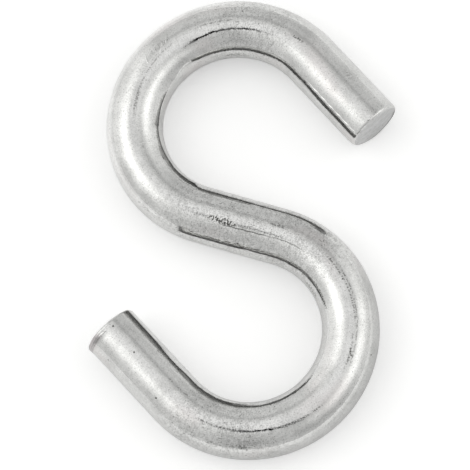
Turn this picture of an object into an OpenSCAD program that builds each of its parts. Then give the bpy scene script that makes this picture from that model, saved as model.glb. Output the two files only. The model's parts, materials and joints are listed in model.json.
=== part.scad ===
// Open S hook, bent from one length of round wire and lying flat.
// X runs across the hook, Y along it towards the upper hook, and Z up from the surface it lies on.
// The origin is on that surface, under the middle of the hook's outline.

/* [Wire] */
// Diameter of the wire
wire_d = 8; // [5:0.5:10]

/* [Middle] */
// Length of the straight between the two hooks
mid_len = 11.5; // [6:0.5:18]

/* [Upper hook] */
// Inside radius of the root bend, which leaves the middle
upper_root_r = 9.5; // [7:0.1:13]
// Angle that the root bend turns through
upper_root_turn = 95; // [80:1:105]
// Inside radius of the crown bend, which carries the load
upper_crown_r = 10.3; // [8:0.1:13]
// Angle that the crown bend turns through
upper_crown_turn = 116; // [100:1:125]
// Length of the straight tip, up to its cut end
upper_tip_len = 13.4; // [8:0.1:17]

/* [Lower hook] */
// Inside radius of the root bend, which leaves the middle
lower_root_r = 10.2; // [7:0.1:13]
// Angle that the root bend turns through
lower_root_turn = 107; // [90:1:115]
// Inside radius of the crown bend, which carries the load
lower_crown_r = 9.9; // [8:0.1:13]
// Angle that the crown bend turns through
lower_crown_turn = 103.5; // [90:0.5:115]
// Length of the straight tip, up to its cut end
lower_tip_len = 13.9; // [8:0.1:17]

/* [Sheared ends] */
// Radius that the rim of each cut end is rounded to
rim_r = 0.4; // [0.2:0.05:0.5]
// How far across the cut end the slope reaches, on the flank where the blade went in
slope_w = 1; // [0.6:0.1:1.6]
// How far back along that flank the slope reaches
slope_len = 0.7; // [0.6:0.1:1.2]

/* [Hidden] */
$fn = 96;
wire_r = wire_d / 2;

// Where two stretches of the wire meet, one is a hair thinner and runs a short lap into the other,
// so that the joint is a clean edge. The roots and the tips are the thin ones.
hair = 0.01;
lap = 0.1;
thin_r = wire_r - hair;

// Both bends of a hook turn to the right: [radius of the centreline, angle, radius of the section]
upper_root = [upper_root_r + wire_r, upper_root_turn, thin_r];
upper_crown = [upper_crown_r + wire_r, upper_crown_turn, wire_r];
lower_root = [lower_root_r + wire_r, lower_root_turn, thin_r];
lower_crown = [lower_crown_r + wire_r, lower_crown_turn, wire_r];

// Each end is sheared from the same flank of the wire. As the wire runs out to the tip, that is
// the right of the upper hook (-1) and the left of the lower hook (1).
upper_flank = -1;
lower_flank = 1;

// A place on the centreline is [x, y, heading]. The middle of the wire is at [0, 0] and heads for
// the lower hook along +X, until the finished hook is turned upright.
function ahead(place, len) =
    [place.x + len * cos(place.z), place.y + len * sin(place.z), place.z];
function left_of(place, dist) =
    [place.x - dist * sin(place.z), place.y + dist * cos(place.z), place.z];
function bend_centre(place, bend) = left_of(place, -bend[0]);
function after_bend(place, bend) = left_of(bend_centre(place, bend) - [0, 0, bend[1]], bend[0]);

// Where the root bend, the crown bend and the cut of each hook are
upper_start = ahead([0, 0, 180], mid_len / 2);
upper_turn = after_bend(upper_start, upper_root);
upper_cut = ahead(after_bend(upper_turn, upper_crown), upper_tip_len);
lower_start = ahead([0, 0, 0], mid_len / 2);
lower_turn = after_bend(lower_start, lower_root);
lower_cut = ahead(after_bend(lower_turn, lower_crown), lower_tip_len);

// A load pulls from crown to crown, so the line through the crowns' centres is set along Y.
pull = bend_centre(upper_turn, upper_crown) - bend_centre(lower_turn, lower_crown);
upright = 90 - atan2(pull.y, pull.x);

// How far the outline reaches from the middle of the wire towards the angle dir
function along(place, dir) = place.x * cos(dir) + place.y * sin(dir);
function bend_reach(place, bend, dir) =
    (place.z + 90 - dir + 720) % 360 > bend[1] ? 0
        : along(bend_centre(place, bend), dir) + bend[0] + bend[2];
function cut_reach(cut, flank, dir) =
    flank * sin(dir - cut.z) > 0
        ? max(along(left_of(ahead(cut, -slope_len), flank * thin_r), dir),
              along(left_of(cut, flank * (thin_r - slope_w)), dir))
        : along(ahead(cut, -rim_r), dir) + (thin_r - rim_r) * abs(sin(dir - cut.z)) + rim_r;
function reach(dir) = max(
    bend_reach(upper_start, upper_root, dir), bend_reach(upper_turn, upper_crown, dir),
    bend_reach(lower_start, lower_root, dir), bend_reach(lower_turn, lower_crown, dir),
    cut_reach(upper_cut, upper_flank, dir), cut_reach(lower_cut, lower_flank, dir));

centre_x = (reach(0 - upright) - reach(180 - upright)) / 2;
centre_y = (reach(90 - upright) - reach(270 - upright)) / 2;

// A bend that starts at the origin along +X and runs end_lap into its neighbours at both ends.
// What follows it starts at its far end.
module bend(b, end_lap = 0) {
    lap_turn = end_lap / b[0] * 180 / PI;
    translate([0, -b[0], 0]) {
        rotate_extrude(start = 90 - b[1] - lap_turn, angle = b[1] + 2 * lap_turn)
            translate([b[0], 0]) circle(r = b[2]);
        rotate(-b[1]) translate([0, b[0], 0]) children();
    }
}

// Half of a tip's section, from its lap up to the rounded rim of the cut end
module tip_profile(len) {
    translate([0, -lap]) square([thin_r - rim_r, lap + len]);
    translate([0, -lap]) square([thin_r, lap + len - rim_r]);
    translate([thin_r - rim_r, len - rim_r]) circle(r = rim_r, $fn = 32);
}

// A straight tip that starts at the origin along +X. Its cut end slopes back at one flank.
module tip(len, flank) {
    difference() {
        rotate([0, 90, 0]) rotate_extrude() tip_profile(len);
        translate([len, flank * (thin_r - slope_w), 0]) rotate(flank * atan2(slope_len, slope_w))
            translate([0, -wire_d, -wire_d]) cube(2 * wire_d);
    }
}

// One hook, from the end of the middle straight to its tip
module hook(root, crown, tip_len, flank) {
    translate([mid_len / 2, 0, 0]) bend(root, lap) bend(crown) tip(tip_len, flank);
}

module s_hook() {
    color("silver") translate([-centre_x, -centre_y, wire_r]) rotate(upright) {
        rotate([0, 90, 0]) cylinder(r = wire_r, h = mid_len, center = true);
        rotate(180) hook(upper_root, upper_crown, upper_tip_len, upper_flank);
        hook(lower_root, lower_crown, lower_tip_len, lower_flank);
    }
}

s_hook();
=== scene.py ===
"""A zinc plated S hook, bent from one length of round wire, on a pale floor in a fabric light tent.

Lengths are in metres, and MM turns millimetres into metres. A place on the wire is also given on the
straight rod that it was bent from: along it from the upper cut, and across it in the rod's section.
"""

import json
import math

import bpy
from bpy.props import FloatProperty, FloatVectorProperty, IntProperty, PointerProperty
from mathutils import Matrix, Vector


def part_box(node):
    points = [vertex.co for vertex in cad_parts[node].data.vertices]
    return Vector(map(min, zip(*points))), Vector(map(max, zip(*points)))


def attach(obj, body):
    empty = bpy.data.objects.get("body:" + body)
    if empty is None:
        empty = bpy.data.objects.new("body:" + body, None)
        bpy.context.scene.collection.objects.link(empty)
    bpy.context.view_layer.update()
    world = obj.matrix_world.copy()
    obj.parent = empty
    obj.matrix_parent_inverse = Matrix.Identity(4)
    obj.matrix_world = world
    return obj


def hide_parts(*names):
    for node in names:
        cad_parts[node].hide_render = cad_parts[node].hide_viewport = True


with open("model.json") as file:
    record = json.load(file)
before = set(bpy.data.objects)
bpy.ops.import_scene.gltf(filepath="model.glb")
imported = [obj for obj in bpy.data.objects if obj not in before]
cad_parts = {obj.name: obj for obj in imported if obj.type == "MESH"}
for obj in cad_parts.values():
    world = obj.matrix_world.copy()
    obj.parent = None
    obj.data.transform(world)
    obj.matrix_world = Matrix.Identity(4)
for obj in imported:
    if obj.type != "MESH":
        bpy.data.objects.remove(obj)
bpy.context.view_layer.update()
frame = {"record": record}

bl_info = {
    "name": "Zinc plated S hook",
    "version": (1, 0, 0),
    "blender": (4, 5, 0),
    "location": "3D View > Sidebar > S hook",
    "description": "Bends, plates and stages one S hook",
    "category": "Object",
}

MM = 0.001
NODE = "s_hook"
BODY = "root"
SLOT = "zinc_plated_steel"
SENSOR = 36.0
BLACK = (0.0, 0.0, 0.0, 1.0)
WHITE = (1.0, 1.0, 1.0, 1.0)

# What the wire's points carry: their place on the straight rod, how far along the wire their ring is,
# how wide that ring is, how the wire bends there, and how scuffed and how smooth the plating is.
ROD = "rod_place"
ALONG = "rod_along"
SWELL = "rod_swell"
CURL = "rod_curl"
SCUFF = "rod_scuff"
CALM = "rod_calm"


def mount(name):
    """The frame's mount of that name: its place, its direction and its dimensions."""
    found = next(m for m in frame["record"]["mounts"] if m["name"] == name)
    return Vector(found["pos_m"]), Vector(found["axis"]), found["dims"]


def frame_wire_d():
    """The wire's diameter: the hook lies flat, so it is as thick as the frame's node is high."""
    low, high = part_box(NODE)
    return high.z - low.z


# ---------------------------------------------------------------- sizes and colours


def length(name, text, default_mm, top_mm=100.0):
    """A length property, with its default in millimetres."""
    return FloatProperty(
        name=name, description=text, default=default_mm * MM, min=0.0, max=top_mm * MM,
        precision=5, unit="LENGTH", subtype="DISTANCE",
    )


def turn(name, text, degrees, low=-360.0, high=360.0):
    """An angle property, with its default in degrees."""
    return FloatProperty(
        name=name, description=text, default=math.radians(degrees), min=math.radians(low),
        max=math.radians(high), unit="ROTATION", subtype="ANGLE",
    )


def share(name, text, default, top=1.0):
    """A plain number property from 0 up."""
    return FloatProperty(name=name, description=text, default=default, min=0.0, max=top, precision=4)


def tint(name, text, default):
    """A colour property."""
    return FloatVectorProperty(
        name=name, description=text, default=default, min=0.0, max=1.0, subtype="COLOR",
    )


class WireSizes(bpy.types.PropertyGroup):
    """The wire and the bends that make it an S hook. Each radius is inside the bend."""

    wire_d: length("Wire diameter", "Diameter of the round wire", frame_wire_d() / MM, 20.0)
    mid_len: length("Middle length", "Straight length between the two hooks", 11.5)
    upper_root_r: length("Upper root radius", "Inside radius where the upper hook starts", 9.5)
    upper_root_turn: turn("Upper root turn", "How far the wire turns there", 95.0)
    upper_crown_r: length("Upper crown radius", "Inside radius of the upper crown", 10.3)
    upper_crown_turn: turn("Upper crown turn", "How far the wire turns there", 116.0)
    upper_tip_len: length("Upper tip length", "Straight length up to the upper cut", 13.4)
    lower_root_r: length("Lower root radius", "Inside radius where the lower hook starts", 10.2)
    lower_root_turn: turn("Lower root turn", "How far the wire turns there", 107.0)
    lower_crown_r: length("Lower crown radius", "Inside radius of the lower crown", 9.9)
    lower_crown_turn: turn("Lower crown turn", "How far the wire turns there", 103.5)
    lower_tip_len: length("Lower tip length", "Straight length up to the lower cut", 13.9)
    rim_r: length("Rim radius", "Rounding round each cut end", 0.4)
    face_bulge: length("Face bulge", "How far the middle of a cut face stands out", 0.06)
    slope_len: length("Slope length", "How far the sheared flank of a cut face is cut back", 0.12)
    roll_run: length("Roll-over run", "How far along the wire the cutter has pressed the flank", 1.3)
    upper_roll: length("Upper roll-over", "How far the upper end's flank is pressed in", 0.12)
    lower_lip: length("Lower lip", "How far the lower end's flank is smeared out", 0.36)


class SurfaceSizes(bpy.types.PropertyGroup):
    """The mesh and the unevenness that drawing, bending and handling leave in the wire."""

    ring_gap: length("Ring gap", "Distance between the mesh's rings along the wire", 0.3)
    tip_gap: length("Tip ring gap", "Distance between the rings next to a cut end", 0.12)
    sides: IntProperty(name="Sides", description="Faces round the wire", default=160, min=24, max=240)
    rim_rings: IntProperty(name="Rim rings", description="Rings in a rim", default=6, min=2, max=16)
    face_rings: IntProperty(name="Face rings", description="Rings in a face", default=20, min=4, max=40)
    wave_depth: length("Wave depth", "Height of the slow waves in the surface", 0.012)
    wave_size: length("Wave size", "Width of the slow waves", 4.0)
    line_depth: length("Draw line depth", "Height of the ridges that the die leaves", 0.006)
    line_gap: length("Draw line gap", "Distance between those ridges", 0.9)
    line_run: share("Draw line run", "Length of a ridge, in gaps", 30.0, 200.0)
    ripple_depth: length("Ripple depth", "Height of the cross ripples in the bends", 0.006)
    ripple_gap: length("Ripple gap", "Distance between the cross ripples", 0.7)
    mark_depth: length("Shear mark depth", "Height of the drag marks on a cut face", 0.02)
    mark_gap: length("Shear mark gap", "Distance between the drag marks", 0.7)
    seed: IntProperty(name="Seed", description="Picks another pattern of unevenness", default=3)


class ZincFinish(bpy.types.PropertyGroup):
    """The bright zinc plating, its wear, the bare look of the cut faces, and the painted shade on the
    upper cut face's low rim.
    """

    bright: tint("Bright zinc", "Colour of the clean plating", (0.755, 0.755, 0.746))
    dull: tint("Dull zinc", "Colour of the dulled plating", (0.48, 0.48, 0.473))
    rosy: tint("Rosy film", "Colour of the faint film on the plating", (0.69, 0.655, 0.65))
    pit: tint("Pits", "Colour inside the pits and scratches", (0.1, 0.1, 0.095))
    face: tint("Cut face", "Colour of the cut faces", (0.66, 0.66, 0.665))
    smear: tint("Smeared flank", "Colour of the flank that the blade has wiped", (0.60, 0.565, 0.575))
    roughness: share("Roughness", "Roughness of the clean plating", 0.05)
    dull_roughness: share("Dull roughness", "Roughness of the dulled plating", 0.13)
    face_roughness: share("Face roughness", "Roughness of the cut faces", 0.5)
    grain_size: length("Grain size", "Width of the plating's fine grain", 0.19)
    grain_depth: length("Grain depth", "Height of the plating's fine grain", 0.004)
    stroke_depth: length("Stroke depth", "Height of the short ripples across the wire", 0.004)
    stroke_gap: length("Stroke gap", "Distance between those ripples", 0.36)
    stroke_run: length("Stroke run", "Length of those ripples", 0.6)
    mottle_depth: length("Mottle depth", "Height of the slower unevenness", 0.006)
    calm: share("Calm", "How much smoother the stretches are that bending has left smooth", 0.65)
    scuff_depth: length("Scuff depth", "Height of the roughness in the scuffed patches", 0.03)
    scratch_depth: length("Scratch depth", "Depth of the scratches", 0.02)
    nick_depth: length("Nick depth", "Depth of the nicks", 0.02)
    pit_depth: length("Pit depth", "Depth of the pits", 0.05)
    drag_depth: length("Drag depth", "Height of the fine drag marks on the cut faces", 0.04)
    torn_depth: length("Torn depth", "Height of the torn grain on the cut faces", 0.03)
    dullness: share("Dullness", "How dull all of the plating is", 0.2)
    patches: share("Dull patches", "How much duller the dull patches are", 0.3)
    streak: share("Draw streaks", "How much the draw lines dull the plating", 0.25)
    grain_tone: share("Grain tone", "How much the grain and the ripples dull and brighten it", 0.9)
    mottle_tone: share("Mottle tone", "How much the slower unevenness dulls and brightens it", 0.5)
    film: share("Film", "How strongly the rosy film shows", 0.5)
    speckle: share("Speckle", "How much the fine grain darkens the plating", 0.3)
    specks: share("Specks", "How much the dark specks show outside the smooth stretches", 0.6)
    calm_specks: share("Calm specks", "How much the dark specks show everywhere", 0.2)
    pit_shade: share("Pit shade", "How much the pits darken the plating", 1.2, 2.0)
    scratch_shade: share("Scratch shade", "How much the scratches darken the plating", 0.6, 2.0)
    comb_shade: share("Comb shade", "How much the scuffs darken the plating", 1.5, 2.0)
    wipe_shade: share("Wipe shade", "How much the blade's lines darken the smeared flank", 0.45)
    # Painted shade: the low rim of the upper cut face is darkened where it mirrors the shaded floor.
    cut_rim_painted_shade: share("Cut rim painted shade", "How dark the low rim of the upper cut face is", 0.75)
    pit_gap: length("Pit gap", "Mean distance between the pits", 1.6)
    pit_size: share("Pit size", "Radius of a large pit, in pit gaps", 0.09)


def lit_wall_settings(azimuth, reach, level, lamp_place, lamp_halves, lamp_tilt, lamp_level):
    """The properties of one lit wall, and of the bright spot of the lamp behind it."""
    return {
        "azimuth": turn("Azimuth", "Direction of the wall's middle, from +X towards +Y", azimuth),
        "reach": turn("Reach", "Half the width of the wall", reach),
        "level": share("Level", "How much brighter the wall is than the unlit walls", level, 4.0),
        "lamp_azimuth": turn("Lamp azimuth", "Direction of the lamp's spot", lamp_place[0]),
        "lamp_elevation": turn("Lamp elevation", "Height of the spot above the floor", lamp_place[1]),
        "lamp_half_w": turn("Lamp half width", "Where the spot has faded, sideways", lamp_halves[0]),
        "lamp_half_h": turn("Lamp half height", "Where it has faded, up and down", lamp_halves[1]),
        "lamp_tilt": turn("Lamp tilt", "Turn of the spot", lamp_tilt),
        "lamp_level": share("Lamp level", "Brightness of the spot above the wall's", lamp_level, 8.0),
    }


class RightWall(bpy.types.PropertyGroup):
    """The lit wall on the right of the light tent."""

    __annotations__ = lit_wall_settings(16.4, 34.7, 0.1, (-8.6, 41.0), (42.4, 17.3), -11.7, 0.8)


class LeftWall(bpy.types.PropertyGroup):
    """The lit wall on the left of the light tent."""

    __annotations__ = lit_wall_settings(151.5, 24.7, 0.276, (172.1, 50.4), (21.6, 19.2), -9.6, 0.95)


class StudioSetting(bpy.types.PropertyGroup):
    """The floor, the light tent round it, and the camera that looks in through the tent's slit."""

    floor: tint("Floor", "Colour of the floor", (0.97, 0.97, 0.97))
    floor_seen: tint("Floor in view", "Colour of the floor as the camera sees it", (0.8, 0.8, 0.8))
    floor_lift: share("Floor lift", "How much the floor in view is washed out towards white", 0.33)
    mirror_lift: share("Mirror lift", "How much lighter the floor is where the wire mirrors it", 0.07)
    lit_azimuth: turn("Lit side", "Side of the hook on which the mirrored floor is lighter", 150.0)
    lit_lift: share("Lit side's lift", "How much lighter it is there", 0.2)
    dim_azimuth: turn("Dim side", "Side of the hook on which the mirrored floor is darker", -53.0)
    dim_share: share("Dim side's shade", "How much darker it is there", 0.2)
    # Painted shade: the floor turns this dark where the wire mirrors its own mirror image.
    floor_painted_shade: tint("Deep floor", "Colour of the floor as the wire shows it to itself", (0.3, 0.3, 0.3))
    wall: tint("Tent walls", "Colour and level of the unlit walls", (0.785, 0.787, 0.778))
    ceiling: tint("Tent ceiling", "Colour and level of the ceiling", (1.0, 1.0, 0.995))
    ceiling_from: turn("Ceiling from", "Elevation of the seam between walls and ceiling", 60.0)
    ceiling_full: turn("Ceiling full", "Elevation above which the ceiling is fully lit", 82.0)
    ceiling_shade: share("Ceiling shade", "Share of the lamps' light that the ceiling hides", 0.9)
    corner_shade: share("Corner shade", "How dark the tent's unlit corners are", 1.0)
    seam_azimuth: turn("Seam azimuth", "Direction of the middle of the dark seam", 79.0)
    seam_reach: turn("Seam reach", "Half the length of the seam, as a turn", 51.0)
    seam_elevation: turn("Seam elevation", "Height of the seam above the floor", 52.0)
    seam_half_w: turn("Seam half width", "Where the seam has faded to a third", 7.0)
    seam_shade: share("Seam shade", "How much darker the seam is than the wall", 0.19)
    deep_shade: share("Deep shade", "How dark the horizon is as the wire shows it to itself", 0.8)
    deep_top: turn("Deep shade's top", "Elevation above which there is no deep shade", 30.0)
    right_wall: PointerProperty(type=RightWall)
    left_wall: PointerProperty(type=LeftWall)
    slit_left_azimuth: turn("Slit's left azimuth", "Direction of the slit's left end", -153.0)
    slit_left_elevation: turn("Slit's left elevation", "Height of the slit's left end", 73.5)
    slit_right_azimuth: turn("Slit's right azimuth", "Direction of the slit's right end", -60.0)
    slit_right_elevation: turn("Slit's right elevation", "Height of the slit's right end", 62.6)
    slit_half_w: turn("Slit half width", "Half the width of the slit", 3.1)
    slit_level: share("Slit level", "Brightness inside the slit", 0.0)
    aim: FloatVectorProperty(
        name="Aim", description="Point that the camera looks at", subtype="TRANSLATION",
        default=(-1.31 * MM, -0.88 * MM, 4.0 * MM),
    )
    distance: length("Distance", "From the camera to its aim", 688.3, 5000.0)
    azimuth: turn("Azimuth", "Camera's place round the hook, from -Y towards +X", 17.59)
    elevation: turn("Elevation", "Camera's height above the floor", 73.94)
    roll: turn("Roll", "Turn of the camera about its line of sight", -22.37)
    lens: FloatProperty(name="Lens", description="Focal length", default=378.6, unit="CAMERA")


# ---------------------------------------------------------------- node trees


class Term:
    """One output of a node, used in plain sums: each operator adds a Math node to its tree."""

    def __init__(self, tree, socket=None):
        self.tree = tree
        self.socket = socket

    def node(self, kind, settings=None, inputs=None, output=0):
        """Adds any other node: its settings first, then its sockets' values or links."""
        made = self.tree.nodes.new(kind)
        for name, value in (settings or {}).items():
            setattr(made, name, value)
        for key, value in (inputs or {}).items():
            self.feed(made.inputs[key], value)
        return Term(self.tree, made.outputs[output])

    def feed(self, socket, value):
        """Links a term to a socket, or sets a plain value on it."""
        if isinstance(value, Term):
            self.tree.links.new(value.socket, socket)
        else:
            socket.default_value = value

    def math(self, operation, *values):
        """A Math node on these values."""
        return self.node("ShaderNodeMath", {"operation": operation}, dict(enumerate(values)))

    def __add__(self, other):
        return self.math("ADD", self, other)

    def __radd__(self, other):
        return self.math("ADD", other, self)

    def __sub__(self, other):
        return self.math("SUBTRACT", self, other)

    def __rsub__(self, other):
        return self.math("SUBTRACT", other, self)

    def __mul__(self, other):
        return self.math("MULTIPLY", self, other)

    def __rmul__(self, other):
        return self.math("MULTIPLY", other, self)

    def __truediv__(self, other):
        return self.math("DIVIDE", self, other)

    def __rtruediv__(self, other):
        return self.math("DIVIDE", other, self)

    def rise(self, low, high):
        """0 below low and 1 above high, with a smooth step between them."""
        settings = {"interpolation_type": "SMOOTHSTEP", "clamp": False}
        inputs = {"Value": self, "From Min": low, "From Max": high}
        return self.node("ShaderNodeMapRange", settings, inputs, "Result")

    def slope(self, low, high):
        """0 below low and 1 above high, with a straight slope between them."""
        inputs = {"Value": self, "From Min": low, "From Max": high}
        return self.node("ShaderNodeMapRange", {"clamp": True}, inputs, "Result")

    def fall(self, low, high):
        """1 below low and 0 above high, with a smooth step between them."""
        return 1.0 - self.rise(low, high)

    def size(self):
        """The value without its sign."""
        return self.math("ABSOLUTE", self)

    def at_least(self, other):
        """The larger of two values."""
        return self.math("MAXIMUM", self, other)

    def vector(self, operation, *others):
        """A Vector Math node on this vector and any others."""
        inputs = dict(enumerate((self, *others)))
        return self.node("ShaderNodeVectorMath", {"operation": operation}, inputs, "Vector")

    def scaled(self, factor):
        """This vector times a number."""
        inputs = {0: self, "Scale": factor}
        return self.node("ShaderNodeVectorMath", {"operation": "SCALE"}, inputs, "Vector")

    def dot(self, other):
        """The dot product of two vectors."""
        inputs = {0: self, 1: other}
        return self.node("ShaderNodeVectorMath", {"operation": "DOT_PRODUCT"}, inputs, "Value")

    def joined(self, x, y, z):
        """A vector with these components."""
        return self.node("ShaderNodeCombineXYZ", {}, {"X": x, "Y": y, "Z": z}, "Vector")

    def parts(self):
        """A vector's three components."""
        split = self.node("ShaderNodeSeparateXYZ", {}, {0: self})
        return [split.beside(i) for i in range(3)]

    def beside(self, output):
        """Another output of the same node."""
        return Term(self.tree, self.socket.node.outputs[output])

    def noise(self, scale, detail=0.0, seed=0.0):
        """Noise from about -1 to 1 at this place, whose waves are 1/scale wide."""
        place = self.vector("ADD", (seed, 0.37 * seed, 0.61 * seed))
        inputs = {"Vector": place, "Scale": scale, "Detail": detail}
        return self.node("ShaderNodeTexNoise", {}, inputs, "Fac") * 2.0 - 1.0


def mix_colour(factor, first, second):
    """A blend of two colours."""
    settings = {"data_type": "RGBA", "clamp_factor": True}
    inputs = {0: factor, 6: first, 7: second}
    return factor.node("ShaderNodeMix", settings, inputs, 2)


def rgba(colour):
    """A colour socket's value."""
    return (*colour, 1.0)


# ---------------------------------------------------------------- the wire's course


class Stretch:
    """A straight or evenly bent stretch of the wire's centreline. A positive turn goes left."""

    def __init__(self, start, heading, run, turned=0.0):
        self.start = start
        self.heading = heading
        self.run = run
        self.curve = turned / run

    def heading_at(self, along):
        """The heading that far into the stretch."""
        return self.heading + self.curve * along

    def point_at(self, along):
        """The point that far into the stretch: the chord's length, in the chord's direction."""
        half = self.curve * along / 2
        chord = along * (math.sin(half) / half if half else 1.0)
        towards = self.heading + half
        return self.start + chord * Vector((math.cos(towards), math.sin(towards)))


class Course:
    """The centreline from the upper cut to the lower cut, worked out from the driving sizes."""

    def __init__(self, sizes):
        self.stretches = []
        wire_r = sizes.wire_d / 2
        self.straight(sizes.upper_tip_len)
        self.bend(sizes.upper_crown_r + wire_r, sizes.upper_crown_turn)
        self.bend(sizes.upper_root_r + wire_r, sizes.upper_root_turn)
        self.straight(sizes.mid_len)
        self.bend(sizes.lower_root_r + wire_r, -sizes.lower_root_turn)
        self.bend(sizes.lower_crown_r + wire_r, -sizes.lower_crown_turn)
        self.straight(sizes.lower_tip_len)
        self.total = sum(stretch.run for stretch in self.stretches)

    def end(self):
        """Where the last stretch ends, and its heading there."""
        if not self.stretches:
            return Vector((0.0, 0.0)), 0.0
        last = self.stretches[-1]
        return last.point_at(last.run), last.heading_at(last.run)

    def straight(self, run):
        """Adds a straight stretch."""
        self.stretches.append(Stretch(*self.end(), run))

    def bend(self, radius, turned):
        """Adds an even bend of this radius at the wire's middle."""
        self.stretches.append(Stretch(*self.end(), radius * abs(turned), turned))

    def find(self, along):
        """The stretch at this place, and how far into it the place is. The ends run on straight."""
        rest = along
        for stretch in self.stretches[:-1]:
            if rest <= stretch.run:
                return stretch, rest
            rest -= stretch.run
        return self.stretches[-1], rest

    def point(self, along):
        """The centreline's point at this place."""
        stretch, rest = self.find(along)
        return stretch.point_at(rest)

    def heading(self, along):
        """The centreline's heading at this place."""
        stretch, rest = self.find(along)
        return stretch.heading_at(rest)

    def curl(self, along, window):
        """The mean bend within a window round this place, in radians per metre, left positive."""
        return (self.heading(along + window) - self.heading(along - window)) / (2 * window)


def frame_tips(rim_r):
    """The middles of the upper and lower cut faces, from the frame's two tip mounts."""
    tips = []
    for name in ("upper_tip", "lower_tip"):
        middle, axis, dims = mount(name)
        tips.append(middle + axis * (dims["length_mm"] * MM / 2 + rim_r))
    return tips


def seat_in_frame(course, rim_r):
    """The matrix that lays the course's two ends on the frame's two cut faces."""
    upper, lower = frame_tips(rim_r)
    start = course.point(0.0).to_3d()
    finish = course.point(course.total).to_3d()
    wanted = lower - upper
    has = finish - start
    angle = math.atan2(wanted.y, wanted.x) - math.atan2(has.y, has.x)
    swing = Matrix.Rotation(angle, 4, "Z")
    middle = (upper + lower) / 2
    return Matrix.Translation(middle) @ swing @ Matrix.Translation(-(start + finish) / 2)


def end_profile(sizes, surface):
    """Rings from the middle of a cut face out over its rim, as (depth, radius share) pairs."""
    wire_r = sizes.wire_d / 2
    face_r = wire_r - sizes.rim_r
    rings = []
    for i in range(surface.face_rings):
        out = i / surface.face_rings
        rings.append((-sizes.face_bulge * (1 - out**2), out * face_r / wire_r))
    for i in range(surface.rim_rings + 1):
        angle = math.pi / 2 * i / surface.rim_rings
        depth = sizes.rim_r * (1 - math.cos(angle))
        rings.append((depth, (face_r + sizes.rim_r * math.sin(angle)) / wire_r))
    return rings


def ring_places(course, sizes, surface):
    """Every ring of the wire's mesh, as (place along, radius share) pairs from cut to cut."""
    profile = end_profile(sizes, surface)
    first = profile[-1][0]
    tip_count = math.ceil(2 * sizes.roll_run / surface.tip_gap)
    profile += [(first + surface.tip_gap * i, 1.0) for i in range(1, tip_count)]
    last = profile[-1][0]
    count = round((course.total - 2 * last) / surface.ring_gap)
    gap = (course.total - 2 * last) / count
    body = [(last + gap * i, 1.0) for i in range(1, count)]
    far_end = [(course.total - depth, swell) for depth, swell in reversed(profile)]
    return profile + body + far_end


def centreline_mesh(sizes, surface):
    """A chain of points along the wire, one for each ring, that carries each ring's sizes."""
    course = Course(sizes)
    rings = ring_places(course, sizes, surface)
    seat = seat_in_frame(course, sizes.rim_r)
    points = [seat @ course.point(along).to_3d() for along, swell in rings]
    mesh = bpy.data.meshes.new("centreline")
    mesh.from_pydata(points, [(i, i + 1) for i in range(len(points) - 1)], [])
    crown_r = sizes.upper_crown_r + sizes.wire_d / 2
    values = {
        ALONG: [along for along, swell in rings],
        SWELL: [swell for along, swell in rings],
        CURL: [course.curl(along, sizes.wire_d / 4) * crown_r for along, swell in rings],
    }
    for name, numbers in values.items():
        mesh.attributes.new(name, "FLOAT", "POINT").data.foreach_set("value", numbers)
    return mesh, course.total


# ---------------------------------------------------------------- marks and flats


# Scuffed patches, as (place along in mm, place around in degrees, half length in mm, half width in
# degrees, strength). Around is 0 on top of the wire, and positive on its left flank.
SCUFFS = (
    (68.6, -13.0, 2.6, 8.0, 1.0),
    (72.8, -12.0, 1.6, 4.0, 0.3),
    (76.2, 9.0, 1.6, 4.0, 0.35),
    (86.5, -70.0, 2.5, 8.0, 0.35),
    (58.3, -59.0, 1.2, 5.0, 0.25),
    (44.5, 6.0, 3.0, 4.0, 0.25),
    (98.4, 13.0, 1.2, 5.0, 0.35),
    (117.0, 46.0, 1.6, 7.0, 0.35),
    (25.0, 79.0, 2.4, 7.0, 0.35),
    (16.0, -5.5, 1.2, 4.0, 0.4),
    (36.4, -12.0, 2.0, 8.0, 0.15),
    (7.3, -28.0, 1.0, 8.0, 0.15),
)

# Stretches of the wire that bending has left smoother, as (place along in mm, half length in mm).
SMOOTH_RUNS = (
    (45.0, 20.0),
    (99.0, 17.0),
    (8.0, 12.0),
    (134.5, 10.0),
)

# Scratches, as (place along in mm, place around in degrees, half length in mm, lean in degrees from
# the wire's direction towards its left, depth), and for the long ones also half the width and how
# far they waver, both in mm.
SCRATCHES = (
    (24.0, -30.0, 0.9, 62.0, 1.0),
    (24.4, -27.5, 0.6, -50.0, 0.8),
    (68.0, -16.0, 1.0, 35.0, 0.8),
    (69.0, -10.0, 0.8, 48.0, 0.8),
    (72.3, -11.0, 1.1, 30.0, 0.6),
    (75.5, -11.0, 0.6, 65.0, 0.5),
    (58.6, -58.0, 0.6, 60.0, 0.7),
    (66.5, -43.0, 0.5, 70.0, 0.7),
    (98.2, 13.0, 0.8, 40.0, 0.9),
    (72.0, -19.6, 3.8, 1.6, 1.5, 0.1, 0.03),
    (78.5, -17.0, 3.2, 1.6, 1.0, 0.09, 0.03),
    (117.3, -19.0, 0.4, 70.0, 0.8),
    (124.0, 57.0, 0.5, 75.0, 0.8),
    (101.5, -54.0, 0.8, -45.0, 0.5),
)

# Thin raised lines, listed in the same way; the last number, if any, is half the width in mm.
BURRS = (
    (35.0, -13.5, 0.7, 55.0, 0.9),
    (36.3, -6.0, 1.0, 38.0, 0.7),
    (38.7, -14.0, 0.8, 60.0, 0.6),
    (7.0, -28.0, 0.5, 80.0, 0.6),
    (51.3, 26.0, 1.4, 86.0, 0.5),
    (76.0, 40.0, 5.5, 0.0, 3.0, 0.18),
    (68.0, -51.0, 4.0, 2.0, 2.4, 0.18),
    (141.0, 22.0, 0.9, 86.0, 1.6),
    (5.0, 48.3, 6.5, -0.5, 5.0, 0.22),
    (59.0, 44.0, 5.0, -2.4, 3.0, 0.18),
    (110.0, -36.5, 2.6, 0.0, 3.0, 0.18),
    (132.0, -39.5, 2.5, 0.0, 1.6),
)

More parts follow.
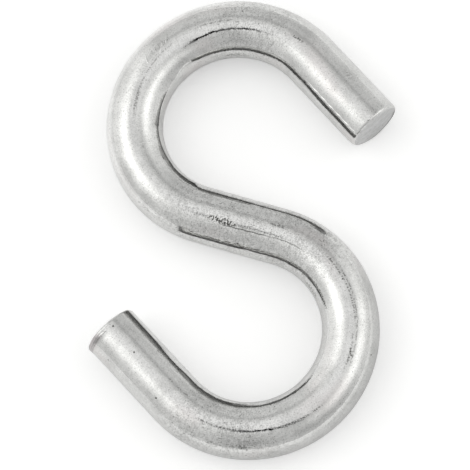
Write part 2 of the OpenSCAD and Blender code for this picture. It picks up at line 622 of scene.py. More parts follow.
# Deep pits, as (place along in mm, place around in degrees, radius in mm).
DEEP_PITS = (
    (129.1, 31.0, 0.19),
    (135.9, 0.0, 0.17),
    (140.7, -5.0, 0.19),
    (117.0, 48.5, 0.13),
    (116.4, 53.0, 0.1),
    (26.9, 79.5, 0.14),
    (23.6, 77.0, 0.1),
    (111.5, 19.5, 0.09),
    (88.0, 8.0, 0.12),
    (138.0, 54.0, 0.12),
    (84.8, 10.5, 0.12),
    (21.8, 0.5, 0.1),
)

# Dotted dark rows: small nicks in the relief, and in the colour a painted reflection of dark lines in
# the tent, as (place along in mm, place around in degrees, half length in mm, lean in degrees, distance
# between the nicks in mm, strength).
NICK_AND_PAINTED_REFLECTION_ROWS = (
    (75.0, -18.0, 6.0, 1.1, 0.35, 0.3),
    (64.0, -5.0, 2.4, 10.0, 0.55, 0.3),
    (120.5, 10.7, 2.8, -2.8, 0.4, 0.8),
    (98.0, 11.0, 3.4, 2.3, 0.9, 0.45),
    (97.5, 17.5, 2.8, 2.3, 1.1, 0.4),
    (89.0, 11.0, 6.5, 2.2, 0.5, 0.6),
    (92.0, 16.5, 7.0, 0.6, 0.65, 0.5),
    (41.0, 3.5, 8.0, 0.6, 0.45, 0.4),
    (45.5, 7.5, 2.2, 2.0, 0.6, 0.3),
    (76.3, 8.0, 1.6, -6.0, 0.35, 0.5),
    (26.0, 77.5, 1.8, 3.0, 0.5, 0.4),
    (15.8, -6.0, 1.0, 12.0, 0.4, 0.8),
    (28.0, -3.0, 3.0, 1.0, 0.9, 0.4),
    (128.0, -17.0, 2.6, 2.0, 0.8, 0.5),
    (109.5, 17.5, 4.0, -2.4, 0.4, 0.9),
    (71.0, -55.5, 7.0, 1.0, 0.75, 0.4),
    (85.0, -49.5, 5.5, 2.6, 0.75, 0.4),
    (73.0, 40.5, 8.0, 1.0, 0.65, 0.35),
)

# Flats that the bending tool has pressed, as (place along in mm, place around in degrees, half length
# in mm, half width in degrees).
FLATS = (
    (11.0, 55.5, 4.5, 4.0),
    (67.0, 42.5, 5.0, 5.0),
    (109.0, -42.5, 5.0, 4.0),
    (131.0, -47.5, 3.0, 4.5),
)

# Ledges that bending has squeezed out of the flank, as (place along in mm, where the ledge starts,
# where it is highest and where it ends, all three in degrees, half length in mm, height in mm).
LEDGES = (
    (2.0, 50.0, 61.5, 74.0, 8.5, 0.036),
    (26.0, 54.5, 65.0, 76.0, 9.0, 0.024),
    (44.5, 42.5, 63.5, 78.0, 9.5, 0.135),
    (52.5, 39.5, 59.5, 75.0, 6.0, 0.14),
    (59.0, 40.5, 58.0, 74.0, 5.0, 0.105),
    (67.0, -52.0, -65.0, -78.0, 6.5, 0.06),
    (77.0, -52.0, -62.0, -74.0, 6.0, 0.028),
    (122.5, -44.0, -57.0, -71.0, 9.0, 0.066),
    (139.5, -46.5, -59.5, -72.0, 7.0, 0.055),
)


# The share of a mark's half length over which it keeps its full strength.
MARK_CORE = 0.6


class RodPlace:
    """A point's place on the straight rod, in millimetres, from which marks and flats are laid out."""

    def __init__(self, point, wire_r, stray=None):
        self.point = point
        self.wire_r = wire_r
        self.along, self.across, self.above = point.parts()
        self.around = point.math("ARCTAN2", self.across, self.above)
        self.stray = stray

    def stretched(self, run, width):
        """The place scaled for a pattern that is so long along the wire, and so wide across it."""
        return self.point.vector("MULTIPLY", (1.0 / run, 1.0 / width, 1.0 / width))

    def pattern(self, run, width, detail, seed):
        """Noise from about -1 to 1 in waves of that length and width."""
        return self.stretched(run, width).noise(1.0, detail, seed)

    def offset(self, along, around):
        """How far along the wire, and how far round it, this point is from a place on the surface."""
        return self.along - along, (self.around - math.radians(around)) * self.wire_r

    def turned(self, around, half_turn):
        """How far round the wire this point is from a place, in half turns of a mark."""
        return (self.around - math.radians(around)) / math.radians(half_turn)

    def leaning(self, along, around, lean):
        """How far this point lies along a leaning line through a place, and how far beside the line."""
        ahead, aside = self.offset(along, around)
        cos, sin = math.cos(math.radians(lean)), math.sin(math.radians(lean))
        return ahead * cos + aside * sin, aside * cos - ahead * sin


def strongest(place, shape, marks):
    """The strongest of these marks at each point."""
    found = shape(place, *marks[0])
    for mark in marks[1:]:
        found = found.at_least(shape(place, *mark))
    return found


def tapered(from_middle, half_run):
    """1 in the middle of a mark, falling to 0 at its ends."""
    return from_middle.size().fall(half_run * MARK_CORE, half_run)


def patch(place, along, around, half_run, half_turn, strength):
    """A soft patch of this strength."""
    core = 0.5
    ahead = (place.along - along) / half_run
    turned = place.turned(around, half_turn)
    return (ahead * ahead + turned * turned).fall(core**2, 1.0) * strength


def smooth_run(place, along, half_run):
    """1 in the middle of a smooth stretch, falling to 0 at its ends."""
    return tapered(place.along - along, half_run)


def scratch(place, along, around, half_run, lean, depth, half_w=0.09, waver=0.09):
    """The depth along the middle of a scratch, falling to 0 at its edges."""
    waves_per_mm = 4.0
    on, beside = place.leaning(along, around, lean)
    off = beside + on.math("SINE", on * waves_per_mm) * waver
    return off.size().fall(0.0, half_w) * tapered(on, half_run) * depth


def burr(place, along, around, half_run, lean, height, half_w=0.12, waver=0.03):
    """A thin raised line, a little wider than a scratch, and straighter."""
    return scratch(place, along, around, half_run, lean, height, half_w, waver)


def nick_and_painted_reflection_row(place, along, around, half_run, lean, gap, strength, half_w=0.18):
    """A dotted row of small nicks, whose darkening is painted reflection: the strength in the bottom of
    a nick, falling to 0 between them.
    """
    core, sway, jitter = 0.04, 0.12, 16.0
    on, beside = place.leaning(along, around, lean)
    beads = on.math("SINE", on * (2 * math.pi / gap) + place.stray * jitter)
    row = (beside + place.stray * sway).size().fall(core, half_w) * tapered(on, half_run)
    return row * beads.rise(-0.9, 0.6) * strength


def deep_pit(place, along, around, radius):
    """1 in the bottom of a pit, falling to 0 at its rim."""
    ahead, aside = place.offset(along, around)
    return (ahead * ahead + aside * aside).fall(0.0, radius**2)


def small_pits(place, finish):
    """Small pits at uneven places: in more than half of the pattern's cells there is none."""
    none_below, least_r, core = 0.55, 0.001, 0.3
    inputs = {"Vector": place.point, "Scale": MM / finish.pit_gap}
    far = place.point.node("ShaderNodeTexVoronoi", {"feature": "F1"}, inputs, "Distance")
    chance = far.beside("Color").parts()[0]
    radius = chance.rise(none_below, 1.0) * finish.pit_size + least_r
    return (far / radius).fall(core, 1.0) * chance.rise(none_below, none_below + 0.05)


def pressed_flat(place, along, around, half_run, half_turn):
    """How far a flat lies below the round wire, in millimetres."""
    chord_share = 0.35
    depth = place.wire_r * (chord_share * math.radians(half_turn) ** 2)
    turned = place.turned(around, half_turn)
    dip = (1.0 - turned * turned).at_least(0.0)
    return dip * depth * tapered(place.along - along, half_run)


def ledge(place, along, start, crest, end, half_run, height):
    """How far a ledge stands out from the round wire, in millimetres."""
    up = place.around.slope(math.radians(start), math.radians(crest))
    down = place.around.fall(math.radians(crest), math.radians(end))
    return up * up * down * tapered(place.along - along, half_run) * height


# ---------------------------------------------------------------- the wire's mesh


def wire_inputs(sizes, surface, total, material):
    """The wire tree's inputs by name: each one's socket type and value."""
    number = "NodeSocketFloat"
    return {
        "Wire diameter": (number, sizes.wire_d),
        "Wire length": (number, total),
        "Sides": ("NodeSocketInt", surface.sides),
        "Slope length": (number, sizes.slope_len),
        "Roll-over run": (number, sizes.roll_run),
        "Upper roll-over": (number, sizes.upper_roll),
        "Lower lip": (number, sizes.lower_lip),
        "Wave depth": (number, surface.wave_depth),
        "Wave size": (number, surface.wave_size),
        "Draw line depth": (number, surface.line_depth),
        "Draw line gap": (number, surface.line_gap),
        "Draw line run": (number, surface.line_run),
        "Ripple depth": (number, surface.ripple_depth),
        "Ripple gap": (number, surface.ripple_gap),
        "Shear mark depth": (number, surface.mark_depth),
        "Shear mark gap": (number, surface.mark_gap),
        "Seed": (number, float(surface.seed)),
        "Finish": ("NodeSocketMaterial", material),
    }


def named(start, name, kind="FLOAT"):
    """What the geometry's points carry under this name."""
    inputs = {"Name": name}
    return start.node("GeometryNodeInputNamedAttribute", {"data_type": kind}, inputs, "Attribute")


def keep(geometry, name, value, kind="FLOAT"):
    """Lets the geometry's points carry a value under this name."""
    return geometry.node(
        "GeometryNodeStoreNamedAttribute", {"data_type": kind, "domain": "POINT"},
        {"Geometry": geometry, "Name": name, "Value": value}, "Geometry",
    )


def sweep(start, chain, given):
    """The tube along the chain, with its points' outward offsets and the wire's direction at them."""
    curve = start.node("GeometryNodeMeshToCurve", {}, {"Mesh": chain})
    level = start.node("GeometryNodeSetCurveNormal", {"mode": "Z_UP"}, {"Curve": curve}, "Curve")
    kept = start.tree.nodes.new("GeometryNodeCaptureAttribute")
    kept.domain = "POINT"
    kept.capture_items.new("VECTOR", "Centre")
    kept.capture_items.new("VECTOR", "Tangent")
    start.feed(kept.inputs["Geometry"], level)
    start.feed(kept.inputs["Centre"], start.node("GeometryNodeInputPosition"))
    start.feed(kept.inputs["Tangent"], start.node("GeometryNodeInputTangent"))
    carried, centre, tangent = [Term(start.tree, kept.outputs[i]) for i in range(3)]
    section = start.node(
        "GeometryNodeCurvePrimitiveCircle", {"mode": "RADIUS"},
        {"Resolution": given["Sides"], "Radius": given["Wire diameter"] / 2.0}, "Curve",
    )
    inputs = {"Curve": carried, "Profile Curve": section, "Scale": named(start, SWELL)}
    tube = start.node("GeometryNodeCurveToMesh", {}, inputs, "Mesh")
    weld = {"Geometry": tube, "Distance": 0.001 * MM}
    closed = start.node("GeometryNodeMergeByDistance", {"mode": "ALL"}, weld, "Geometry")
    outward = start.node("GeometryNodeInputPosition").vector("SUBTRACT", centre)
    return closed, outward, tangent


def place_on_rod(start, tube, outward, ahead):
    """Keeps each point's place on the straight rod, in millimetres: along, across and above."""
    up = start.joined(0.0, 0.0, 1.0)
    left = up.vector("CROSS_PRODUCT", ahead)
    place = start.joined(named(start, ALONG), outward.dot(left), outward.dot(up))
    return keep(tube, ROD, place.scaled(1 / MM), "FLOAT_VECTOR")


def sheared_ends(place, given, outward, ahead):
    """How the cutter has shaped the ends: a flank cut back and rolled over, and a smeared lip.

    The cutter has come in from the wire's left, and the lip lies on the upper part of that flank.
    """
    lip_start = 0.2 * MM
    flank_reach, lip_reach, lip_height = (0.1, 0.95), (0.1, 0.72), (-0.35, 0.6)
    along, across, above = place.parts()
    wire_r = given["Wire diameter"] / 2.0
    run = given["Roll-over run"]
    flank = (across / wire_r).rise(*flank_reach)
    to_lower = given["Wire length"] - along
    rolled = (1.0 - along.slope(0.0, run)) * given["Upper roll-over"]
    wiped = (across / wire_r).rise(*lip_reach) * (above / wire_r).rise(*lip_height)
    smeared = (1.0 - to_lower.slope(lip_start, run)) * given["Lower lip"] * wiped
    cut_back = along.fall(0.0, run * 2.0) - to_lower.fall(0.0, run * 2.0)
    sideways = outward.scaled((smeared - rolled * flank) / wire_r)
    lengthways = ahead.scaled(cut_back * flank * given["Slope length"])
    return sideways.vector("ADD", lengthways)


def unevenness(place, given):
    """How far each point stands out from the true round wire, in metres."""
    ripple_w, drag_run = 4.0, 5.0
    outside, inside = -0.2, 0.9
    face_from, face_full = 0.2 * MM, 0.02 * MM
    along, across, above = place.parts()
    seed = given["Seed"]
    shift = place.joined(seed, seed * 0.7, seed * 0.3)
    waves = place.scaled(1.0 / given["Wave size"]).vector("ADD", shift).noise(1.0, 1.0)
    drawn = place.joined(along / given["Draw line run"], across, above)
    lines = drawn.scaled(1.0 / given["Draw line gap"]).noise(1.0, 1.0)
    squeezed = place.joined(along, across / ripple_w, above / ripple_w)
    ripples = squeezed.scaled(1.0 / given["Ripple gap"]).noise(1.0, 0.0)
    towards_inside = across * named(place, CURL) / (given["Wire diameter"] / 2.0)
    inner = towards_inside.rise(outside, inside)
    round_wire = waves * given["Wave depth"] + lines * given["Draw line depth"]
    round_wire = round_wire + ripples * inner * given["Ripple depth"]
    from_end = place.math("MINIMUM", along, given["Wire length"] - along)
    dragged = place.joined(0.0, across / drag_run, above)
    marks = dragged.scaled(1.0 / given["Shear mark gap"]).noise(1.0, 1.0)
    face = from_end.fall(face_full, face_from)
    return round_wire * (1.0 - face) + marks * given["Shear mark depth"] * face


def wire_tree(inputs):
    """The node tree that sweeps the wire along its chain of points and gives it its surface."""
    tree = bpy.data.node_groups.new("Drawn and bent wire", "GeometryNodeTree")
    tree.is_modifier = True
    kinds = {"Geometry": "NodeSocketGeometry"}
    kinds.update((name, pair[0]) for name, pair in inputs.items())
    for name, kind in kinds.items():
        tree.interface.new_socket(name=name, in_out="INPUT", socket_type=kind)
    tree.interface.new_socket(name="Geometry", in_out="OUTPUT", socket_type="NodeSocketGeometry")
    entry = tree.nodes.new("NodeGroupInput")
    given = {out.name: Term(tree, out) for out in entry.outputs if out.name}
    start = Term(tree)
    tube, outward, ahead = sweep(start, given["Geometry"], given)
    placed = place_on_rod(start, tube, outward, ahead)
    place = named(start, ROD, "FLOAT_VECTOR")
    rod = RodPlace(place, given["Wire diameter"] * (0.5 / MM))
    scuffed = keep(placed, SCUFF, strongest(rod, patch, SCUFFS))
    worn = keep(scuffed, CALM, strongest(rod, smooth_run, SMOOTH_RUNS))
    bent = strongest(rod, ledge, LEDGES) - strongest(rod, pressed_flat, FLATS)
    in_metres = place.scaled(MM)
    uneven = start.node("GeometryNodeInputNormal").scaled(unevenness(in_metres, given) + bent * MM)
    offset = uneven.vector("ADD", sheared_ends(in_metres, given, outward, ahead))
    shaped = start.node("GeometryNodeSetPosition", {}, {"Geometry": worn, "Offset": offset})
    smooth = start.node("GeometryNodeSetShadeSmooth", {}, {"Geometry": shaped})
    real = start.node("GeometryNodeRealizeInstances", {}, {"Geometry": smooth})
    finished = start.node("GeometryNodeSetMaterial", {}, {"Geometry": real, "Material": given["Finish"]})
    leave = tree.nodes.new("NodeGroupOutput")
    start.feed(leave.inputs["Geometry"], finished)
    return tree


def plain_mesh(source, tree, inputs, name):
    """Runs the tree on an object and turns the result into a plain mesh object."""
    modifier = source.modifiers.new("tree", "NODES")
    modifier.node_group = tree
    for socket in tree.interface.items_tree:
        if socket.in_out == "INPUT" and socket.name in inputs:
            modifier[socket.identifier] = inputs[socket.name][1]
    graph = bpy.context.evaluated_depsgraph_get()
    mesh = bpy.data.meshes.new_from_object(source.evaluated_get(graph), depsgraph=graph)
    mesh.name = name
    source.modifiers.remove(modifier)
    piece = bpy.data.objects.new(name, mesh)
    bpy.context.scene.collection.objects.link(piece)
    bpy.data.objects.remove(source)
    return piece


# ---------------------------------------------------------------- finishes


# Even patterns of the finish, as (waves in a millimetre, detail, seed).
DULLING = (0.35, 1.0, 5.0)
MOTTLE = (1.4, 2.0, 43.0)
STRAYING = (0.8, 2.0, 51.0)

# Finer ones, as (waves in the width of a grain, detail, seed).
GRAIN = (1.0, 1.5, 2.0)
SPECKLE = (0.8, 2.0, 31.0)
SPECKS = (1.2, 0.0, 67.0)

# Patterns that follow the wire, as (length along it and width across it in mm, detail, seed).
STREAKS = (16.0, 0.8, 2.0, 9.0)
FILM = (9.0, 4.0, 1.0, 17.0)
COMBING = (0.24, 0.4, 1.0, 63.0)
WIPES = (0.16, 2.5, 1.0, 71.0)

# How many drag marks a cut face has in a millimetre: through it, across it and up it.
DRAG = (0.0, 0.3, 1.1)

# How deep a cut face's look reaches, in mm from the cut, and how far out, in shares of the rim.
FACE_RUN = (0.02, 0.14)
FACE_RIM = (0.8, 0.4)

# Painted shade on the low rim of the upper cut face: how far it reaches from the cut and in from the
# flank, in mm, which way it lies from the middle, as right and down, and how closely a point has to
# lie that way.
LOW_RIM_RUN = (0.1, 0.4)
LOW_RIM_DEPTH = (0.9, 0.45)
LOW_SIDE = (0.6, 0.8)
LOW_SIDE_REACH = (0.5, 0.95)

# Where the blade has wiped the lower end, in mm from the cut, and in degrees round the wire.
WIPED_RUN = (0.9, 1.15)
WIPED_TURN = (22.0, 32.0)


def shaded_place(start, wire_d):
    """The shaded point's place on the straight rod."""
    point = start.node("ShaderNodeAttribute", {"attribute_name": ROD}, {}, "Vector")
    return RodPlace(point, wire_d / 2 / MM, point.noise(*STRAYING))


def carried(start, name):
    """The value that the mesh's points carry under this name."""
    return start.node("ShaderNodeAttribute", {"attribute_name": name}, {}, "Fac")


class ZincLook:
    """What varies over the finish: where the cut faces are, the patterns, and the marks."""

    def __init__(self, start, finish, sizes, total):
        self.finish = finish
        self.place = place = shaded_place(start, sizes.wire_d)
        self.radial = start.math("SQRT", place.across * place.across + place.above * place.above)
        self.to_lower = total / MM - place.along
        self.face = self.cut_faces(sizes.rim_r / MM)
        self.plated = 1.0 - self.face
        self.grain = self.grains(GRAIN)
        self.speckle = self.grains(SPECKLE)
        self.dulling = place.point.noise(*DULLING).rise(-0.25, 0.45)
        self.streaks = place.pattern(*STREAKS)
        self.scuffed = carried(start, SCUFF)
        self.cut = strongest(place, scratch, SCRATCHES)
        self.ridge = strongest(place, burr, BURRS)
        self.pits = strongest(place, deep_pit, DEEP_PITS).at_least(small_pits(place, finish))
        # The dotted rows: dents in the relief, and painted reflection of dark lines of the tent in the
        # colour.
        self.nicks = strongest(place, nick_and_painted_reflection_row, NICK_AND_PAINTED_REFLECTION_ROWS)
        self.strokes = place.pattern(finish.stroke_gap / MM, finish.stroke_run / MM, 1.0, 61.0)
        self.specks = self.grains(SPECKS).rise(0.3, 0.7)
        self.stir = 1.0 - carried(start, CALM) * finish.calm
        self.mottle = place.point.noise(*MOTTLE)
        self.drag = place.point.vector("MULTIPLY", DRAG).noise(1.0, 2.0, 41.0)
        self.wiped = self.wiped_flank()
        self.wipes = place.pattern(*WIPES).slope(-0.3, 0.3)

    def grains(self, pattern):
        """Noise from about -1 to 1 in waves about as wide as the plating's grain."""
        waves, detail, seed = pattern
        return self.place.point.noise(waves * (MM / self.finish.grain_size), detail, seed)

    def cut_faces(self, rim_r):
        """1 on the two cut faces, and 0 from the rim on."""
        inside = self.radial.fall(*[self.place.wire_r - rim_r * out for out in FACE_RIM])
        from_end = self.place.point.math("MINIMUM", self.place.along, self.to_lower)
        return from_end.fall(*FACE_RUN) * inside

    def wiped_flank(self):
        """1 where the blade has wiped the lower end's flank."""
        low, high = (math.radians(turned) for turned in WIPED_TURN)
        return self.to_lower.fall(*WIPED_RUN) * self.place.around.rise(low, high) * self.plated

    def painted_shade_on_cut_rim(self):
        """1 along the low rim of the upper cut face, on its side towards the floor: painted shade, where
        the rim mirrors the floor's shade.
        """
        place = self.place
        right, down = LOW_SIDE
        low_side = (place.across * -right - place.above * down) / self.radial
        near_rim = self.radial.rise(*[place.wire_r - depth for depth in LOW_RIM_DEPTH])
        return place.along.fall(*LOW_RIM_RUN) * low_side.rise(*LOW_SIDE_REACH) * near_rim

    def metal(self):
        """The colour of the clean metal: the plating, the cut faces and the wiped flank."""
        finish = self.finish
        strokes, grain, contrast = 0.45, 0.75, 0.28
        grainy = (self.strokes * strokes + self.grain * grain).slope(-contrast, contrast) - 0.5
        lively = (grainy * finish.grain_tone + self.mottle * finish.mottle_tone) * self.stir
        dulled = self.dulling * finish.patches + self.streaks * finish.streak + lively + finish.dullness
        film = self.place.pattern(*FILM).rise(0.1, 0.6) * finish.film
        rough_share, drag_share, smear_least = 0.5, 0.7, 0.5
        torn = self.mottle.slope(-0.4, 0.4) * rough_share + self.drag * drag_share
        plating = mix_colour(dulled, rgba(finish.bright), rgba(finish.dull))
        plating = mix_colour(film, plating, rgba(finish.rosy))
        bare = mix_colour(torn, rgba(finish.face), rgba(finish.dull))
        smeared = self.wiped * (smear_least + self.wipes * (1.0 - smear_least))
        return mix_colour(smeared, mix_colour(self.face, plating, bare), rgba(finish.smear))

    def shade(self):
        """How much the marks, the specks and the fine grain darken each point, with painted shade on the
        low rim of the upper cut face and painted reflection in the dotted rows of nicks.
        """
        finish = self.finish
        combed = self.place.pattern(*COMBING).rise(-0.1, 0.14) * self.scuffed
        # The dotted rows' darkening is painted reflection of dark lines in the tent.
        shade = self.pits * finish.pit_shade + self.cut * finish.scratch_shade + self.nicks
        shade = shade + combed * finish.comb_shade
        shade = shade + self.specks * (self.stir * finish.specks + finish.calm_specks)
        # The low rim's share is painted shade, where the upper cut face mirrors the shaded floor.
        shade = shade + (self.speckle * finish.speckle).at_least(0.0) + self.painted_shade_on_cut_rim() * finish.cut_rim_painted_shade
        return shade + self.wiped * (1.0 - self.wipes) * finish.wipe_shade

    def roughness(self):
        """How rough each point is: smoother where the plating is bright, and rough on the cut faces."""
        finish = self.finish
        spread = finish.dull_roughness - finish.roughness
        streak_share = 0.02
        plating = finish.roughness + self.dulling * spread + self.streaks * streak_share
        return plating * self.plated + finish.face_roughness * self.face

    def relief(self):
        """The height of what is too fine for the mesh, in millimetres."""
        finish = self.finish
        fine = self.grain * (finish.grain_depth / MM) + self.strokes * (finish.stroke_depth / MM)
        relief = fine * self.stir * self.plated + self.grain * self.scuffed * (finish.scuff_depth / MM)
        relief = relief + (self.ridge - self.cut) * (finish.scratch_depth / MM)
        relief = relief - self.pits * (finish.pit_depth / MM) - self.nicks * (finish.nick_depth / MM)
        torn = self.drag * (finish.drag_depth / MM) + self.mottle * (finish.torn_depth / MM)
        return relief + torn * self.face + self.mottle * (finish.mottle_depth / MM) * self.plated


def new_material(name):
    """A material, with its shader and a term to start its sums from."""
    material = bpy.data.materials.new(name)
    material.use_nodes = True
    return material, material.node_tree.nodes["Principled BSDF"], Term(material.node_tree)


def zinc_finish(finish, sizes, total):
    """Bright zinc plating on drawn wire, with dulled patches, pits, scratches and matte cut faces."""
    material, shader, start = new_material(SLOT)
    look = ZincLook(start, finish, sizes, total)
    start.feed(shader.inputs["Base Color"], mix_colour(look.shade(), look.metal(), rgba(finish.pit)))
    start.feed(shader.inputs["Roughness"], look.roughness())
    shader.inputs["Metallic"].default_value = 1.0
    inputs = {"Height": look.relief(), "Strength": 1.0, "Distance": MM}
    start.feed(shader.inputs["Normal"], start.node("ShaderNodeBump", {}, inputs, "Normal"))
    return material


# From where to where the mirrored floor turns darker or lighter on one side of the hook, and where
# it turns plain again further out, in mm from the hook's middle.
DIM_REACH = (8.0, 22.0)
LIT_REACH = (16.0, 26.0)
PLAIN_REACH = (38.0, 60.0)


def floor_side(spot, azimuth, reach):
    """1 on the floor close to one side of the hook, and 0 on the other side and further out."""
    out = spot.dot((math.cos(azimuth), math.sin(azimuth), 0.0)).rise(*reach)
    return out * spot.dot(spot).fall(*[limit**2 for limit in PLAIN_REACH])


def ray_kind(start, output):
    """What the light path says of the ray that is being traced."""
    return start.node("ShaderNodeLightPath", {}, {}, output)


def mirrored_twice(start):
    """1 in what the wire mirrors of its own mirror image, and 0 elsewhere."""
    return start.math("GREATER_THAN", ray_kind(start, "Glossy Depth"), 1.5)


def near_grey(level, blue):
    """A grey of this level, with a blue part of its own."""
    return level.node("ShaderNodeCombineColor", {}, {"Red": level, "Green": level, "Blue": blue})


def floor_finish(setting):
    """A plain pale floor, washed out towards white in view, with painted shade where the wire mirrors
    itself.
    """
    material, shader, start = new_material("floor")
    seen = ray_kind(start, "Is Camera Ray")
    twice = mirrored_twice(start)
    once = ray_kind(start, "Is Glossy Ray") * (1.0 - twice)
    spot = start.node("ShaderNodeTexCoord", {}, {}, "Object").scaled(1 / MM)
    dim = floor_side(spot, setting.dim_azimuth, DIM_REACH) * once * setting.dim_share
    lit = floor_side(spot, setting.lit_azimuth, LIT_REACH) * once * setting.lit_lift
    colour = mix_colour(seen, rgba(setting.floor), rgba(setting.floor_seen))
    # Painted shade on the floor, seen only where the wire mirrors itself.
    colour = mix_colour(twice, mix_colour(dim, colour, BLACK), rgba(setting.floor_painted_shade))
    lift = seen * setting.floor_lift + once * setting.mirror_lift + lit
    start.feed(shader.inputs["Base Color"], colour)
    start.feed(shader.inputs["Emission Color"], near_grey(lift, lift))
    shader.inputs["Emission Strength"].default_value = 1.0
    shader.inputs["Roughness"].default_value = 1.0
    shader.inputs["Specular IOR Level"].default_value = 0.0
    return material


# ---------------------------------------------------------------- studio


def direction(azimuth, elevation):
    """The unit vector towards an azimuth from +X, and an elevation above the floor."""
    flat = math.cos(elevation)
    return Vector((flat * math.cos(azimuth), flat * math.sin(azimuth), math.sin(elevation)))


# The tent's unlit corners, as (azimuth, elevation and reach in degrees, shade).
CORNERS = (
    (-54.8, 32.0, 31.5, 0.342),
    (59.8, 19.6, 23.6, 0.247),
    (-102.6, 24.0, 22.0, 0.249),
)

# The blue share of the lamps' light: it is a little warm.
LAMP_BLUE = 0.98


def facing(ray, azimuth):
    """The cosine of the turn about the upright between a ray and an azimuth."""
    flat = ray.vector("MULTIPLY", (1.0, 1.0, 0.0)).vector("NORMALIZE")
    return flat.dot(direction(azimuth, 0.0))


def within_turn(cosine, reach, softness):
    """1 within a turn of the middle, falling to 0 over a soft edge that is a share of the turn."""
    return cosine.rise(math.cos(reach * (1 + softness)), math.cos(reach * (1 - softness)))


def bell(ray, off_squared):
    """1 in the middle, fading out: a third is left where the squared distance is 1."""
    return ray.math("EXPONENT", 0.0 - off_squared)


def ahead_of(ray, way):
    """1 for rays that go this way, and 0 for those that go the other way."""
    return ray.dot(way).rise(0.0, 0.1)


def lit_wall(ray, wall):
    """What one lit wall and its lamp add, by direction."""
    wall_softness = 0.25
    panel = within_turn(facing(ray, wall.azimuth), wall.reach, wall_softness)
    lamp = direction(wall.lamp_azimuth, wall.lamp_elevation)
    level = Vector((-math.sin(wall.lamp_azimuth), math.cos(wall.lamp_azimuth), 0.0))
    side = Matrix.Rotation(wall.lamp_tilt, 3, lamp) @ level
    x = ray.dot(side) / math.sin(wall.lamp_half_w)
    y = ray.dot(lamp.cross(side)) / math.sin(wall.lamp_half_h)
    spot = bell(ray, x * x + y * y) * ahead_of(ray, lamp)
    return panel * wall.level + spot * wall.lamp_level


def corner(ray, azimuth, elevation, reach, shade):
    """How much darker one of the tent's unlit corners is, by direction."""
    near = ray.dot(direction(math.radians(azimuth), math.radians(elevation)))
    return ray.math("EXPONENT", (near - 1.0) * (2.0 / math.radians(reach) ** 2)) * shade


def seam(ray, setting):
    """How much darker the seam under the ceiling is, by direction."""
    seam_softness = 0.3
    along = within_turn(facing(ray, setting.seam_azimuth), setting.seam_reach, seam_softness)
    off = (ray.math("ARCSINE", ray.parts()[2]) - setting.seam_elevation) / setting.seam_half_w
    return bell(ray, off * off) * along * setting.seam_shade


def slit(ray, setting):
    """1 in the dark slit, which runs straight between its two ends, and 0 outside it."""
    left = direction(setting.slit_left_azimuth, setting.slit_left_elevation)
    right = direction(setting.slit_right_azimuth, setting.slit_right_elevation)
    over = left.cross(right).normalized()
    middle = (left + right).normalized()
    side = over.cross(middle)
    half_w = math.sin(setting.slit_half_w)
    reach = abs(left.dot(side))
    in_width = ray.dot(over).size().fall(half_w * 0.8, half_w * 1.2)
    in_length = ray.dot(side).size().fall(reach * 0.7, reach * 1.2)
    return in_width * in_length * ahead_of(ray, middle)


def tent_world(setting):
    """The light tent: unlit walls, two lit ones, a ceiling, and the dark slit for the camera."""
    world = bpy.data.worlds.new("light_tent")
    world.use_nodes = True
    tree = world.node_tree
    tree.nodes.clear()
    start = Term(tree)
    ray = start.node("ShaderNodeTexCoord", {}, {}, "Generated")
    height = ray.parts()[2]
    ceiling = height.rise(math.sin(setting.ceiling_from), math.sin(setting.ceiling_full))
    lit = lit_wall(ray, setting.right_wall) + lit_wall(ray, setting.left_wall)
    added = lit * (1.0 - ceiling * setting.ceiling_shade) - seam(ray, setting)
    for place in CORNERS:
        added = added - corner(ray, *place) * setting.corner_shade
    plain = mix_colour(ceiling, rgba(setting.wall), rgba(setting.ceiling))
    light = plain.vector("ADD", near_grey(added, added * LAMP_BLUE))
    light = mix_colour(slit(ray, setting), light, rgba([setting.slit_level] * 3))
    deep = mirrored_twice(start) * height.fall(0.0, math.sin(setting.deep_top))
    light = mix_colour(deep * setting.deep_shade, light, BLACK)
    shown = mix_colour(ray_kind(start, "Is Camera Ray"), light, WHITE)
    background = start.node("ShaderNodeBackground", {}, {"Color": shown, "Strength": 1.0})
    leave = tree.nodes.new("ShaderNodeOutputWorld")
    start.feed(leave.inputs["Surface"], background)
    return world


def lay_floor(setting):
    """A floor that reaches far past the view, as a round sheet."""
    mesh = bpy.data.meshes.new("floor")
    reach = 3.0
    corners = 64
    rim = [direction(2 * math.pi * i / corners, 0.0) * reach for i in range(corners)]
    mesh.from_pydata(rim, [], [list(range(corners))])
    floor = bpy.data.objects.new("floor", mesh)
    bpy.context.scene.collection.objects.link(floor)
    mesh.materials.append(floor_finish(setting))
    return floor


def set_camera(setting):
    """The camera over the hook, turned about its line of sight."""
    data = bpy.data.cameras.new("camera")
    data.sensor_width = SENSOR
    data.lens = setting.lens
    camera = bpy.data.objects.new("camera", data)
    bpy.context.scene.collection.objects.link(camera)
    back = direction(setting.azimuth - math.pi / 2, setting.elevation)
    level = Vector((math.cos(setting.azimuth), math.sin(setting.azimuth), 0.0))
    right = Matrix.Rotation(setting.roll, 3, back) @ level
    up = back.cross(right)
    turned = Matrix((right, up, back)).transposed().to_4x4()
    camera.matrix_world = Matrix.Translation(Vector(setting.aim) + back * setting.distance) @ turned
    data.clip_start = 0.01
    data.clip_end = 20.0
    bpy.context.scene.camera = camera
    return camera


# ---------------------------------------------------------------- operators and panel


class S_HOOK_OT_bend_wire(bpy.types.Operator):
    """Bend the wire into the hook and plate it"""

    bl_idname = "s_hook.bend_wire"
    bl_label = "Bend wire"

    def execute(self, context):
        sizes = context.scene.hook_wire
        surface = context.scene.hook_surface
        chain, total = centreline_mesh(sizes, surface)
        finish = zinc_finish(context.scene.hook_finish, sizes, total)
        inputs = wire_inputs(sizes, surface, total, finish)
        source = bpy.data.objects.new("chain", chain)
        context.scene.collection.objects.link(source)
        hook = plain_mesh(source, wire_tree(inputs), inputs, "bent_wire")
        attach(hook, BODY)
        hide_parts(NODE)
        return {"FINISHED"}


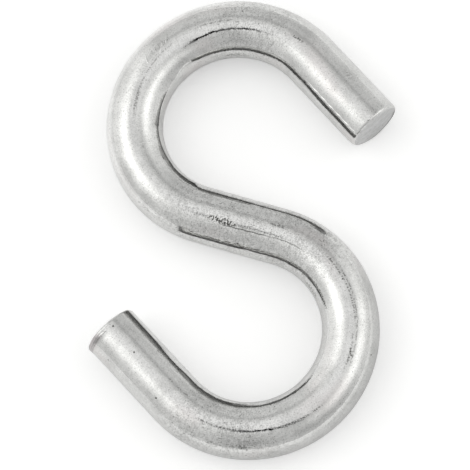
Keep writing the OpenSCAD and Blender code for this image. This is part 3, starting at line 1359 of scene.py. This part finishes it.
class S_HOOK_OT_set_stage(bpy.types.Operator):
    """Lay the floor, raise the light tent and place the camera"""

    bl_idname = "s_hook.set_stage"
    bl_label = "Set stage"

    def execute(self, context):
        setting = context.scene.hook_studio
        lay_floor(setting)
        context.scene.world = tent_world(setting)
        context.scene.view_settings.view_transform = "Standard"
        set_camera(setting)
        return {"FINISHED"}


class S_HOOK_PT_panel(bpy.types.Panel):
    """The hook's sizes, finish and studio"""

    bl_label = "S hook"
    bl_idname = "S_HOOK_PT_panel"
    bl_space_type = "VIEW_3D"
    bl_region_type = "UI"
    bl_category = "S hook"

    def draw(self, context):
        layout = self.layout
        for title, holder in GROUPS.items():
            self.list_settings(layout, title, getattr(context.scene, holder))
        layout.operator(S_HOOK_OT_bend_wire.bl_idname)
        layout.operator(S_HOOK_OT_set_stage.bl_idname)

    def list_settings(self, layout, title, group):
        """Lists a group's settings in a box of their own, and the groups inside it in boxes below."""
        box = layout.box()
        box.label(text=title)
        for name in group.__annotations__:
            value = getattr(group, name)
            if isinstance(value, bpy.types.PropertyGroup):
                self.list_settings(box, name.replace("_", " ").capitalize(), value)
            else:
                box.prop(group, name)


GROUPS = {
    "Wire": "hook_wire",
    "Surface": "hook_surface",
    "Finish": "hook_finish",
    "Studio": "hook_studio",
}

CLASSES = (
    WireSizes,
    SurfaceSizes,
    ZincFinish,
    RightWall,
    LeftWall,
    StudioSetting,
    S_HOOK_OT_bend_wire,
    S_HOOK_OT_set_stage,
    S_HOOK_PT_panel,
)


def register():
    """Registers the classes and hangs their settings on the scene."""
    for kind in CLASSES:
        bpy.utils.register_class(kind)
    scene = bpy.types.Scene
    scene.hook_wire = PointerProperty(type=WireSizes)
    scene.hook_surface = PointerProperty(type=SurfaceSizes)
    scene.hook_finish = PointerProperty(type=ZincFinish)
    scene.hook_studio = PointerProperty(type=StudioSetting)


def unregister():
    """Takes the settings and the classes away again."""
    for holder in GROUPS.values():
        delattr(bpy.types.Scene, holder)
    for kind in reversed(CLASSES):
        bpy.utils.unregister_class(kind)


def main():
    """Makes the hook and its stage."""
    register()
    bpy.ops.s_hook.bend_wire()
    bpy.ops.s_hook.set_stage()


if __name__ == "__main__":
    main()
